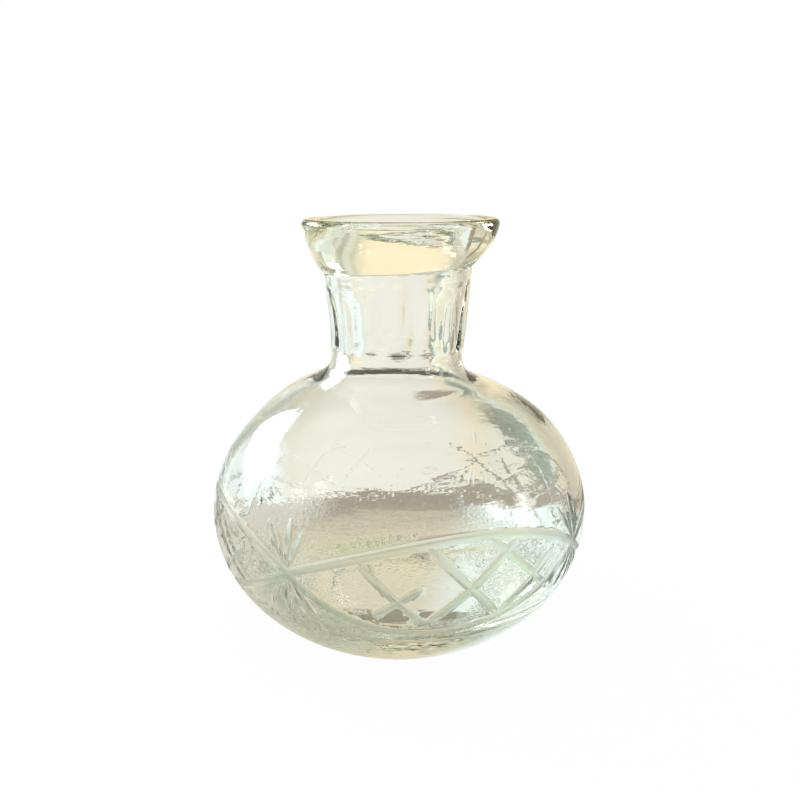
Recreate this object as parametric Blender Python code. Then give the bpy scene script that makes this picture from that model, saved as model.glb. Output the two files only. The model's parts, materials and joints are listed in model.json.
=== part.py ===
"""Bulbous cut-glass flower vase: the hollow blown body, and the lip wound on round its mouth.

Metres, +Z up. The origin is the centre of the foot, on the surface that the vase stands on.
Azimuths are in degrees round +Z from the front, which is -Y, towards +X.
"""

import math

import bpy
from mathutils import Vector

# Overall sizes
BODY_RADIUS = 0.0500
EQUATOR_HEIGHT = 0.0345
SHOULDER_RISE = 0.0388
FOOT_RADIUS = 0.0249
FOOT_HEIGHT = 0.0012

# Glass thicknesses
SIDE_WALL = 0.0030
SHOULDER_WALL = 0.0032
NECK_WALL = 0.0028
FLOOR_THICKNESS = 0.0140

# Flat floor of the hollow, rounded up into the side wall
FLOOR_RADIUS = 0.0380

# Underside: a flat ring to stand on, and a domed push-up inside it
RING_OUTER_RADIUS = 0.0228
RING_WIDTH = 0.0036
PUSH_UP_HEIGHT = 0.0021

# Neck, widening towards the lip, with a smooth bend into the shoulder
NECK_FOOT_RADIUS = 0.0171
NECK_TOP_RADIUS = 0.0190
NECK_LENGTH = 0.0222
NECK_BEND = 0.0046
INNER_BEND = 0.0040

# Lip, wound on round the end of the neck; the gap stands for the weld
LIP_HEIGHT = 0.0124
LIP_RADIUS = 0.0250
LIP_FOOT_STEP = 0.0005
LIP_BELLY = 0.0009
CREST_SETBACK = 0.0011
CREST_ROUND = 0.0013
MOUTH_RADIUS = 0.0207
MOUTH_ROUND = 0.0017
NECK_END_REACH = 0.0030
NECK_END_WALL = 0.0013
WELD_GAP = 0.0003

# Flat panels cut down the neck, arched where the wheel leaves the glass
PANEL_COUNT = 14
PANEL_DEPTH_SHARE = 0.9
PANEL_TOP_CLEARANCE = 0.0052
PANEL_FOOT_CLEARANCE = 0.0010
PANEL_WHEEL_RADIUS = 0.0140

# Stars: wheel cuts that reach up and down from a middle beside the ends of the bows
STAR_COUNT = 4
FIRST_STAR_AZIMUTH = -31.0
STAR_HEIGHT = 0.0336
STAR_REACH = 0.0125
RAY_DEPTH = 0.0008

# Bows: long cuts from star to star, one rising over and one dipping under the lattice
BOW_DEPTH = 0.0008
UPPER_BOW_RISE = 0.0098
LOWER_BOW_DROP = 0.0132

# Lattice: straight cuts both ways between the bows
LATTICE_DEPTH = 0.0007
LATTICE_PITCH = 0.0172
LATTICE_RUN_OUT = 0.0012

# Knurls pressed across the rounded edge of the foot
KNURL_COUNT = 64
KNURL_DEPTH = 0.0004

# Every cutter stands this far out of the glass
CUTTER_LIFT = 0.0007

# Half the angle between the two sides of a V-shaped wheel
MITRE_HALF_ANGLE = 58.0
KNURL_HALF_ANGLE = 50.0

# Rays of a star: turn from straight up, and length as a share of the star's reach
RAY_ANGLES = (-31.0, -16.0, 2.0, 22.0, 147.0, 167.0, -174.0, -147.0)
RAY_LENGTH_SHARES = (1.08, 0.80, 1.0, 0.90, 0.97, 0.94, 0.90, 0.98)

# Lattice lines: where each crosses the height of the stars, in pitches from the eye's middle
RISING_LINE_SHARES = (-0.72, 0.27, 1.27)
FALLING_LINE_SHARES = (-1.10, -0.18, 0.92)
LATTICE_SLOPE = 0.92

# How far a cut overruns each end of the mark it leaves, as a share of its length
OVERRUN_SHARE = 0.06

# How finely the round forms are made
SEGMENTS = 56
BODY_STEPS = 11
HOLLOW_STEPS = 5
BEND_STEPS = 4
LIP_STEPS = 5
ROUND_STEPS = 3
PUSH_UP_STEPS = 3
WHEEL_STEPS = 4
RAY_STEPS = 5
BOW_STEPS = 14
LATTICE_STEPS = 4
KNURL_STEPS = 2

# Colours of the glass
BODY_COLOUR = (0.86, 0.91, 0.86, 1.0)
LIP_COLOUR = (0.90, 0.91, 0.84, 1.0)
GLASS_ROUGHNESS = 0.03
GLASS_IOR = 1.52

# Heights and radii that follow from the sizes above
FLOOR_HEIGHT = PUSH_UP_HEIGHT + FLOOR_THICKNESS
BODY_DROP = (EQUATOR_HEIGHT - FOOT_HEIGHT) / math.sqrt(1.0 - (FOOT_RADIUS / BODY_RADIUS) ** 2)
STAR_SPACING = 360.0 / STAR_COUNT


def clear_scene():
    """Removes what the startup file holds."""
    for obj in list(bpy.data.objects):
        bpy.data.objects.remove(obj)


def between(start, end, share):
    """The point at a share of the way from one point to another."""
    return tuple(a + (b - a) * share for a, b in zip(start, end))


def bend(start, corner, end, steps):
    """A smooth bend from start to end, tangent at both to the lines that meet at the corner."""
    shares = [step / steps for step in range(steps + 1)]
    return [between(between(start, corner, s), between(corner, end, s), s) for s in shares]


def shoulder_bend(bulb_radius, rise, neck_radius, reach):
    """The bend by which the upper half of a bulb turns up into its neck."""
    share = (neck_radius + reach) / bulb_radius
    flatness = math.sqrt(1.0 - share * share)
    start = (neck_radius + reach, EQUATOR_HEIGHT + rise * flatness)
    slope = rise / bulb_radius * share / flatness
    corner = (neck_radius, start[1] + slope * reach)
    end = (neck_radius, corner[1] + reach)
    return bend(start, corner, end, BEND_STEPS)


OUTER_BEND_POINTS = shoulder_bend(BODY_RADIUS, SHOULDER_RISE, NECK_FOOT_RADIUS, NECK_BEND)
NECK_FOOT_HEIGHT = OUTER_BEND_POINTS[-1][1]
NECK_END_HEIGHT = NECK_FOOT_HEIGHT + NECK_LENGTH
NECK_TIP_HEIGHT = NECK_END_HEIGHT + NECK_END_REACH
LIP_FOOT_HEIGHT = NECK_END_HEIGHT + WELD_GAP
TOTAL_HEIGHT = LIP_FOOT_HEIGHT + LIP_HEIGHT


def neck_radius(height):
    """Outer radius of the neck at a height."""
    share = (height - NECK_FOOT_HEIGHT) / (NECK_END_HEIGHT - NECK_FOOT_HEIGHT)
    return NECK_FOOT_RADIUS + (NECK_TOP_RADIUS - NECK_FOOT_RADIUS) * share


def half_height(height):
    """Half height of the bulb's outside, above or below its widest place."""
    return SHOULDER_RISE if height >= EQUATOR_HEIGHT else BODY_DROP


def body_radius(height):
    """Outer radius of the bulb at a height."""
    share = (height - EQUATOR_HEIGHT) / half_height(height)
    return BODY_RADIUS * math.sqrt(1.0 - share * share)


def outside_points():
    """The bulb's outside, from the shoulder bend down to the top of the foot."""
    top = math.asin((OUTER_BEND_POINTS[0][1] - EQUATOR_HEIGHT) / SHOULDER_RISE)
    bottom = math.asin((FOOT_HEIGHT - EQUATOR_HEIGHT) / BODY_DROP)
    points = []
    for step in range(1, BODY_STEPS):
        angle = top + (bottom - top) * step / BODY_STEPS
        half = SHOULDER_RISE if angle >= 0.0 else BODY_DROP
        points.append((BODY_RADIUS * math.cos(angle), EQUATOR_HEIGHT + half * math.sin(angle)))
    return points


def hollow_points(bend_points):
    """The hollow, from the middle of its floor up to the bend into the neck."""
    radius = BODY_RADIUS - SIDE_WALL
    rise = SHOULDER_RISE - SHOULDER_WALL
    drop = EQUATOR_HEIGHT - FLOOR_HEIGHT
    points = [(0.0, FLOOR_HEIGHT)]
    for step in range(HOLLOW_STEPS + 1):
        angle = math.pi / 2.0 * step / HOLLOW_STEPS
        across = FLOOR_RADIUS + (radius - FLOOR_RADIUS) * math.sin(angle)
        points.append((across, EQUATOR_HEIGHT - drop * math.cos(angle)))
    top = math.asin((bend_points[0][1] - EQUATOR_HEIGHT) / rise)
    for step in range(1, HOLLOW_STEPS):
        angle = top * step / HOLLOW_STEPS
        points.append((radius * math.cos(angle), EQUATOR_HEIGHT + rise * math.sin(angle)))
    return points


def underside_points():
    """The rounded edge of the foot, the ring that it stands on and the push-up inside it."""
    ring_inner_radius = RING_OUTER_RADIUS - RING_WIDTH
    edge = bend((FOOT_RADIUS, FOOT_HEIGHT), (FOOT_RADIUS, 0.0), (RING_OUTER_RADIUS, 0.0), KNURL_STEPS)
    points = edge + [(ring_inner_radius, 0.0)]
    for step in range(1, PUSH_UP_STEPS + 1):
        angle = math.pi / 2.0 * step / PUSH_UP_STEPS
        across = ring_inner_radius * max(0.0, math.cos(angle))
        points.append((across, PUSH_UP_HEIGHT * math.sin(angle)))
    return points[:-1] + [(0.0, PUSH_UP_HEIGHT)]


def body_profile():
    """The body's section: up the hollow, over the neck's end, down the outside, under the foot."""
    hollow_radius = BODY_RADIUS - SIDE_WALL
    hollow_rise = SHOULDER_RISE - SHOULDER_WALL
    inner_bend = shoulder_bend(hollow_radius, hollow_rise, NECK_FOOT_RADIUS - NECK_WALL, INNER_BEND)
    bore = neck_radius(NECK_END_HEIGHT) - NECK_WALL
    tip = bore + NECK_END_WALL
    neck_end = [
        (bore, NECK_TIP_HEIGHT),
        (tip, NECK_TIP_HEIGHT),
        (tip, NECK_END_HEIGHT),
        (NECK_TOP_RADIUS, NECK_END_HEIGHT),
    ]
    inside = hollow_points(inner_bend) + inner_bend + neck_end
    return inside + OUTER_BEND_POINTS[::-1] + outside_points() + underside_points()


def quarter(centre, across, up, start, end):
    """Part of an ellipse about a centre between two angles, counted from outwards to upwards."""
    points = []
    for step in range(ROUND_STEPS + 1):
        angle = math.radians(start + (end - start) * step / ROUND_STEPS)
        points.append((centre[0] + across * math.cos(angle), centre[1] + up * math.sin(angle)))
    return points


def lip_profile():
    """The lip's section: round the neck's end, up the mouth, over the crest, down the outside."""
    bore = NECK_TOP_RADIUS - NECK_WALL
    socket_radius = bore + NECK_END_WALL + WELD_GAP
    socket_height = NECK_TIP_HEIGHT + WELD_GAP
    socket = [(socket_radius, LIP_FOOT_HEIGHT), (socket_radius, socket_height)]
    crest_radius = LIP_RADIUS - CREST_SETBACK
    mouth_height = TOTAL_HEIGHT - MOUTH_ROUND
    crest_in = quarter((crest_radius, mouth_height), crest_radius - MOUTH_RADIUS, MOUTH_ROUND, 180.0, 90.0)
    crest_out = quarter((crest_radius, TOTAL_HEIGHT - CREST_ROUND), CREST_SETBACK, CREST_ROUND, 90.0, 0.0)
    mouth = []
    for step in range(LIP_STEPS):
        share = step / LIP_STEPS
        widening = (1.0 - math.cos(math.pi / 2.0 * share)) * (MOUTH_RADIUS - bore)
        mouth.append((bore + widening, socket_height + (mouth_height - socket_height) * share))
    outside = []
    widest = (LIP_RADIUS, TOTAL_HEIGHT - CREST_ROUND)
    foot = (NECK_TOP_RADIUS + LIP_FOOT_STEP, LIP_FOOT_HEIGHT)
    for step in range(1, LIP_STEPS + 1):
        share = step / LIP_STEPS
        radius, height = between(widest, foot, share)
        outside.append((radius + LIP_BELLY * math.sin(math.pi * share), height))
    return socket + mouth + crest_in + crest_out[1:] + outside


def link(obj, collection=None):
    """Puts an object into a collection, or into the scene's own."""
    (collection or bpy.context.scene.collection).objects.link(obj)
    return obj


def turned(name, profile, closed, material):
    """Turns a section round +Z into a solid of glass."""
    points = [(radius, 0.0, height) for radius, height in profile]
    edges = [(i, i + 1) for i in range(len(points) - 1)]
    if closed:
        edges.append((len(points) - 1, 0))
    mesh = bpy.data.meshes.new(name)
    mesh.from_pydata(points, edges, [])
    mesh.materials.append(material)
    obj = link(bpy.data.objects.new(name, mesh))
    screw = obj.modifiers.new("Turn", "SCREW")
    screw.axis = "Z"
    screw.angle = math.tau
    screw.steps = SEGMENTS
    screw.render_steps = SEGMENTS
    screw.use_smooth_shade = True
    screw.use_merge_vertices = True
    screw.merge_threshold = WELD_GAP / 100.0
    return obj


def glass(name, colour):
    """A clear glass with a faint colour of its own."""
    material = bpy.data.materials.new(name)
    material.use_nodes = True
    shader = material.node_tree.nodes["Principled BSDF"]
    shader.inputs["Base Color"].default_value = colour
    shader.inputs["Roughness"].default_value = GLASS_ROUGHNESS
    shader.inputs["Metallic"].default_value = 0.0
    shader.inputs["IOR"].default_value = GLASS_IOR
    shader.inputs["Transmission Weight"].default_value = 1.0
    material.diffuse_color = colour
    return material


def place(azimuth, radius, height):
    """The point at an azimuth, a radius and a height."""
    angle = math.radians(azimuth)
    return Vector((radius * math.sin(angle), -radius * math.cos(angle), height))


def on_body(azimuth, height):
    """A point on the bulb's outside and the direction straight out of the glass there."""
    radius = body_radius(height)
    out = place(azimuth, radius / BODY_RADIUS**2, (height - EQUATOR_HEIGHT) / half_height(height) ** 2)
    return place(azimuth, radius, height), out.normalized()


def wheel_depth(share, depth):
    """Depth along a cut that a round wheel leaves: full in the middle, none at both ends."""
    return depth * (1.0 - (2.0 * share - 1.0) ** 2)


def overrun_shares(steps):
    """Even shares along a cut, from just before its start to just past its end."""
    length = 1.0 + 2.0 * OVERRUN_SHARE
    return [step / steps * length - OVERRUN_SHARE for step in range(steps + 1)]


def mitre_cutter(name, stations, half_angle, cutters):
    """A V-shaped cutter along stations of point, direction out of the glass, and depth."""
    spread = math.tan(math.radians(half_angle))
    vertices = []
    for index, (point, out, depth) in enumerate(stations):
        before = stations[max(index - 1, 0)][0]
        after = stations[min(index + 1, len(stations) - 1)][0]
        side = out.cross(after - before).normalized() * (depth + CUTTER_LIFT) * spread
        top = point + out * CUTTER_LIFT
        vertices += [point - out * depth, top + side, top - side]
    faces = [(0, 2, 1)]
    for start in range(0, len(vertices) - 3, 3):
        for corner in range(3):
            following = (corner + 1) % 3
            faces.append((start + corner, start + following, start + 3 + following, start + 3 + corner))
    last = len(vertices) - 3
    faces.append((last, last + 1, last + 2))
    return cutter(name, vertices, faces, cutters)


def cutter(name, vertices, faces, cutters):
    """A hidden closed mesh, kept in the collection that cuts the body."""
    mesh = bpy.data.meshes.new(name)
    mesh.from_pydata(vertices, [], faces)
    obj = link(bpy.data.objects.new(name, mesh), cutters)
    obj.hide_render = True
    obj.display_type = "WIRE"
    return obj


def cut_stars(cutters):
    """Four stars, each of four rays up and four rays down."""
    for star in range(STAR_COUNT):
        azimuth = FIRST_STAR_AZIMUTH + STAR_SPACING * star
        for ray, (angle, length_share) in enumerate(zip(RAY_ANGLES, RAY_LENGTH_SHARES)):
            length = STAR_REACH * length_share
            across = math.degrees(length * math.sin(math.radians(angle)) / BODY_RADIUS)
            up = length * math.cos(math.radians(angle))
            stations = []
            for share in overrun_shares(RAY_STEPS):
                point, out = on_body(azimuth + across * share, STAR_HEIGHT + up * share)
                stations.append((point, out, wheel_depth(share, RAY_DEPTH)))
            mitre_cutter(f"star_{star}_ray_{ray}", stations, MITRE_HALF_ANGLE, cutters)


def bow_height(rise, share):
    """Height of a bow at a share of the way from one star to the next."""
    return STAR_HEIGHT + rise * (1.0 - (2.0 * share - 1.0) ** 2)


def cut_bows(cutters):
    """Two bows from each star to the next, which close an eye between them."""
    for eye in range(STAR_COUNT):
        first = FIRST_STAR_AZIMUTH + STAR_SPACING * eye
        for name, rise in (("upper", UPPER_BOW_RISE), ("lower", -LOWER_BOW_DROP)):
            stations = []
            for step in range(BOW_STEPS + 1):
                share = step / BOW_STEPS
                point, out = on_body(first + STAR_SPACING * share, bow_height(rise, share))
                stations.append((point, out, BOW_DEPTH))
            mitre_cutter(f"eye_{eye}_{name}_bow", stations, MITRE_HALF_ANGLE, cutters)


def meeting(crossing, slope, rise):
    """Height over the stars at which a sloping lattice line meets a bow, from where it crosses."""
    half_eye = BODY_RADIUS * math.radians(STAR_SPACING) / 2.0
    bow = rise / half_eye**2
    linear = 1.0 + 2.0 * bow * crossing / slope
    root = math.sqrt(linear**2 - 4.0 * bow / slope**2 * (bow * crossing**2 - rise))
    return (root - linear) / (2.0 * bow / slope**2)


def cut_lattice(cutters):
    """Straight cuts both ways between the bows of each eye, each fading just past a bow."""
    lines = [(share, LATTICE_SLOPE) for share in RISING_LINE_SHARES]
    lines += [(share, -LATTICE_SLOPE) for share in FALLING_LINE_SHARES]
    for eye in range(STAR_COUNT):
        middle = FIRST_STAR_AZIMUTH + STAR_SPACING * (eye + 0.5)
        for line, (share, slope) in enumerate(lines):
            crossing = LATTICE_PITCH * share
            low = meeting(crossing, slope, -LOWER_BOW_DROP) - LATTICE_RUN_OUT
            high = meeting(crossing, slope, UPPER_BOW_RISE) + LATTICE_RUN_OUT
            stations = []
            for step in range(LATTICE_STEPS + 1):
                up = low + (high - low) * step / LATTICE_STEPS
                azimuth = middle + math.degrees((crossing + up / slope) / BODY_RADIUS)
                point, out = on_body(azimuth, STAR_HEIGHT + up)
                stations.append((point, out, LATTICE_DEPTH))
            mitre_cutter(f"eye_{eye}_line_{line}", stations, MITRE_HALF_ANGLE, cutters)


def panel_face():
    """The cut face of a neck panel in section: straight down the neck, curling out at both ends."""
    top = NECK_END_HEIGHT - PANEL_TOP_CLEARANCE
    foot = NECK_FOOT_HEIGHT + PANEL_FOOT_CLEARANCE
    depth_share = (1.0 - math.cos(math.pi / PANEL_COUNT)) * PANEL_DEPTH_SHARE
    curl = math.acos(1.0 - (NECK_TOP_RADIUS * depth_share + CUTTER_LIFT) / PANEL_WHEEL_RADIUS)
    run = PANEL_WHEEL_RADIUS * math.sin(curl)
    points = []
    for end, way in ((foot + run, -1.0), (top - run, 1.0)):
        turn = []
        for step in range(WHEEL_STEPS + 1):
            angle = curl * step / WHEEL_STEPS
            base = neck_radius(end) * (1.0 - depth_share)
            lifted = base + PANEL_WHEEL_RADIUS * (1.0 - math.cos(angle))
            turn.append((lifted, end + way * PANEL_WHEEL_RADIUS * math.sin(angle)))
        points += turn[::-1] if way < 0.0 else turn
    return points


def cut_neck_panels(cutters):
    """Flat panels side by side round the neck, one of them at the front."""
    half_width = NECK_TOP_RADIUS * math.tan(math.pi / PANEL_COUNT)
    face = panel_face()
    count = len(face)
    for panel in range(PANEL_COUNT):
        turn = 360.0 / PANEL_COUNT * panel
        out = place(turn, 1.0, 0.0)
        along = place(turn + 90.0, 1.0, 0.0)
        vertices = []
        for side in (-half_width, half_width):
            for radius, height in face:
                vertices.append(out * radius + along * side + Vector((0.0, 0.0, height)))
        faces = [tuple(range(count - 1, -1, -1)), tuple(range(count, 2 * count))]
        for index in range(count):
            following = (index + 1) % count
            faces.append((index, following, count + following, count + index))
        cutter(f"neck_panel_{panel}", vertices, faces, cutters)


def cut_knurls(cutters):
    """Short radial cuts all round the rounded edge of the foot."""
    for knurl in range(KNURL_COUNT):
        azimuth = 360.0 / KNURL_COUNT * knurl
        start = place(azimuth, RING_OUTER_RADIUS, 0.0)
        end = place(azimuth, FOOT_RADIUS, FOOT_HEIGHT)
        out = place(azimuth, FOOT_HEIGHT, RING_OUTER_RADIUS - FOOT_RADIUS).normalized()
        stations = []
        for share in overrun_shares(KNURL_STEPS):
            stations.append((start.lerp(end, share), out, wheel_depth(share, KNURL_DEPTH)))
        mitre_cutter(f"knurl_{knurl}", stations, KNURL_HALF_ANGLE, cutters)


def make_body():
    """The blown body with its foot, shoulder and neck, and everything that is cut into it."""
    body = turned("vase_body", body_profile(), False, glass("body_glass", BODY_COLOUR))
    cutters = bpy.data.collections.new("wheel_cuts")
    bpy.context.scene.collection.children.link(cutters)
    cutters.hide_render = True
    cut_stars(cutters)
    cut_bows(cutters)
    cut_lattice(cutters)
    cut_neck_panels(cutters)
    cut_knurls(cutters)
    boolean = body.modifiers.new("Wheel cuts", "BOOLEAN")
    boolean.operation = "DIFFERENCE"
    boolean.solver = "EXACT"
    boolean.operand_type = "COLLECTION"
    boolean.collection = cutters
    return body


def make_lip():
    """The heavy lip that is wound on round the neck's end and tooled outwards."""
    return turned("lip_collar", lip_profile(), True, glass("lip_glass", LIP_COLOUR))


def main():
    """Builds the vase."""
    clear_scene()
    make_body()
    make_lip()


main()
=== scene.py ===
"""Looks of the bulbous cut-glass vase: its blown body, its wound-on lip, the wheel cuts and the glass."""

import json
import math
import random

import bmesh
import bpy
from bpy.props import FloatProperty, FloatVectorProperty, IntProperty, PointerProperty
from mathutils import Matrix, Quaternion, Vector

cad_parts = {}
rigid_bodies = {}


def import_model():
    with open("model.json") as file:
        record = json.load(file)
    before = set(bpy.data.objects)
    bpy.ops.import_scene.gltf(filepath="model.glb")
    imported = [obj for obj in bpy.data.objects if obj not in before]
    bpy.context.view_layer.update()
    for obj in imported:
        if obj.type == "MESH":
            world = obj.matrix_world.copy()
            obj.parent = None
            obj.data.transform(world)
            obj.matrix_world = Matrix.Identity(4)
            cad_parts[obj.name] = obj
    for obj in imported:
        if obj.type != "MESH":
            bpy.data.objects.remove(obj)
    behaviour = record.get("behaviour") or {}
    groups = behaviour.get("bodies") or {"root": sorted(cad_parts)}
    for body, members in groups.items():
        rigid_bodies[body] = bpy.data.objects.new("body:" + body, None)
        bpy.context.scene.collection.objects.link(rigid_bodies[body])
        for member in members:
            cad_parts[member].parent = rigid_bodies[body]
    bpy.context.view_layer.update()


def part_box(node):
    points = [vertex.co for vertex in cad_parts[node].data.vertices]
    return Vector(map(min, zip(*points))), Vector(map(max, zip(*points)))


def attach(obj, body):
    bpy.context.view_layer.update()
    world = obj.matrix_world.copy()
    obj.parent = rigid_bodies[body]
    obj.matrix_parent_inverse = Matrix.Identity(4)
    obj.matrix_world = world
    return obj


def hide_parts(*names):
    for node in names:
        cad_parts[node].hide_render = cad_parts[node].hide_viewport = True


bl_info = {
    "name": "Bulbous Cut-Glass Vase",
    "version": (1, 0, 0),
    "blender": (4, 5, 0),
    "location": "3D Viewport > Sidebar > Vase",
    "description": "Blows, cuts and lights a small bulbous vase of clear glass",
    "category": "Add Mesh",
}

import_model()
BODY_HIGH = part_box("vase_body")[1]
LIP_LOW, LIP_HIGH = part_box("lip_collar")

MM = 0.001
BODY_NAME = "vase_glass"
LIP_NAME = "lip_glass"

# What the hand's unevenness may add to the turned glass, which has to stay inside the solids
UNEVENNESS = 0.1 * MM

# The photograph's camera: its frame in pixels, focal length in pixels, and place
PHOTO_PIXELS = 800.0
FOCAL_PIXELS = 860.0
SENSOR_WIDTH = 36.0
CAMERA_PLACE = (0.0006, -0.2219, 0.1204)
CAMERA_PITCH = 14.5
CAMERA_ROLL = 0.28
CAMERA_NEAR = 0.01


def setting(kind, name, description, default, **more):
    """A value that a user can change."""
    return kind(name=name, description=description, default=default, **more)


def length(name, description, default):
    """A length that a user can change."""
    return setting(FloatProperty, name, description, default, unit="LENGTH")


def tint(name, description, default):
    """A colour that a user can change."""
    return setting(FloatVectorProperty, name, description, default, size=3, subtype="COLOR")


class VaseShape(bpy.types.PropertyGroup):
    """Sizes of the blown glass."""

    body_radius: length(
        "Body radius", "Outer radius of the bulb at its widest place", BODY_HIGH.x - UNEVENNESS
    )
    equator_height: length("Height of the widest place", "Height at which the bulb is widest", 0.0345)
    shoulder_rise: length(
        "Rise of the shoulder", "Half height of the bulb above its widest place", 0.0388
    )
    foot_radius: length("Foot radius", "Outer radius of the foot, where the bulb ends", 0.0249)
    foot_height: length(
        "Height of the foot's edge", "Height at which the bulb turns into the foot", 0.0012
    )
    ring_radius: length(
        "Radius of the standing ring", "Outer radius of the flat ring that the vase stands on", 0.0228
    )
    ring_width: length(
        "Width of the standing ring", "Width of the flat ring that the vase stands on", 0.0036
    )
    push_up: length("Rise of the push-up", "Height of the hollow under the foot", 0.0021)
    side_wall: length("Side wall", "Thickness of the glass at the widest place", 0.0028)
    floor_thickness: length("Floor thickness", "Thickness of the solid glass under the hollow", 0.0140)
    floor_radius: length("Radius of the flat floor", "Radius of the flat middle of the hollow", 0.038)
    neck_foot_radius: length(
        "Neck radius at its foot", "Outer radius of the neck where it leaves the shoulder", 0.0171
    )
    neck_top_radius: length(
        "Neck radius under the lip", "Outer radius of the neck where the lip is wound on", 0.0190
    )
    neck_wall: length("Neck wall", "Thickness of the glass in the neck", 0.0028)
    neck_bend: length(
        "Bend into the shoulder", "Reach of the outer bend between shoulder and neck", 0.0046
    )
    inner_bend: length(
        "Bend inside the shoulder", "Reach of the softer bend between hollow and neck", 0.0080
    )
    lip_foot_height: length(
        "Height of the lip's foot", "Height at which the lip is welded to the neck", LIP_LOW.z
    )
    total_height: length("Total height", "Height of the crest of the lip", LIP_HIGH.z - UNEVENNESS)
    lip_radius: length("Lip radius", "Outer radius of the lip", LIP_HIGH.x)
    mouth_radius: length("Mouth radius", "Radius of the mouth at its top", 0.0207)
    segments: setting(IntProperty, "Steps round", "Steps in which the section is spun round", 192)


class VaseCuts(bpy.types.PropertyGroup):
    """Sizes of what the wheels cut and the mould pressed."""

    star_azimuth: setting(
        FloatProperty,
        "First star, from the front",
        "Turn of the first star round the vase, counted from the front",
        math.radians(-31.0),
        subtype="ANGLE",
    )
    star_height: length("Height of the stars", "Height of the middles of the stars", 0.0336)
    star_reach: length("Reach of a star", "Length of a full ray", 0.0125)
    ray_depth: length("Depth of a ray", "Depth to which a ray is ground", 0.00062)
    bow_depth: length("Depth of a bow", "Depth to which a bow is ground", 0.00052)
    upper_bow_rise: length("Rise of the upper bow", "Height of the upper bow over the stars", 0.0098)
    lower_bow_drop: length("Drop of the lower bow", "Depth of the lower bow under the stars", 0.0136)
    line_depth: length("Depth of the lattice", "Depth to which a lattice cut is ground", 0.00048)
    panels: setting(IntProperty, "Panels of the neck", "Number of flat panels round the neck", 14)
    panel_top: length("Top of the panels", "Height at which the panels end under the lip", 0.0929)
    panel_foot: length(
        "Foot of the panels", "Height at which the panels start over the shoulder", 0.0745
    )
    knurls: setting(IntProperty, "Knurls of the foot", "Number of knurls round the edge of the foot", 64)


class VaseGlass(bpy.types.PropertyGroup):
    """Colours and finish of the glass."""

    body_colour: tint("Body glass", "Colour of the body's skin", (0.985, 0.992, 0.984))
    lip_colour: tint("Lip glass", "Colour of the lip's skin", (0.99, 0.992, 0.975))
    body_depth: tint(
        "Body colour in the thick", "Colour that light takes on inside the body", (0.78, 0.86, 0.70)
    )
    lip_depth: tint(
        "Lip colour in the thick", "Colour that light takes on inside the lip", (0.72, 0.72, 0.30)
    )
    depth_strength: setting(FloatProperty, "Strength in the body", "How fast it takes up light", 5.0)
    lip_strength: setting(FloatProperty, "Strength in the lip", "How fast it takes up light", 16.0)
    cut_colour: tint(
        "Ground cuts", "Colour of the glass where the wheel has ground it", (1.0, 0.99, 0.975)
    )
    cut_roughness: setting(
        FloatProperty, "Roughness of the cuts", "How matt the wheel leaves the glass", 0.34
    )


class VaseStage(bpy.types.PropertyGroup):
    """The floor, the backdrop and the lamps."""

    # Brown table behind the vase, darkened there by painted shadow of the vase
    floor_colour: tint("Table behind", "Table behind the vase, as the glass shows it", (0.33, 0.26, 0.18))
    near_colour: tint("Table in front", "Table under the vase, as the glass shows it", (0.73, 0.65, 0.48))
    # Painted pool of cool light on the table's right, where the vase gathers the window's light
    glow_colour: tint("Lit table", "Table on the right, as the glass shows it", (0.90, 1.0, 0.97))
    table_depth: length(
        "Table behind the vase", "How far the table reaches behind the vase's middle", 0.100
    )
    window_strength: setting(FloatProperty, "Window", "Power of the window on the left, in watts", 2.2)
    pane_strength: setting(FloatProperty, "Panes", "Power of each pane on the right, in watts", 0.25)


def between(start, end, share):
    """The point at a share of the way from one point to another."""
    return tuple(a + (b - a) * share for a, b in zip(start, end))


def bend(start, corner, end, steps):
    """A smooth bend from start to end, tangent at both to the lines that meet at the corner."""
    shares = [step / steps for step in range(steps + 1)]
    return [between(between(start, corner, s), between(corner, end, s), s) for s in shares]


def smooth(low, high, value):
    """0 below low, 1 above high, and a smooth rise between."""
    share = min(1.0, max(0.0, (value - low) / (high - low)))
    return share * share * (3.0 - 2.0 * share)


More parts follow.
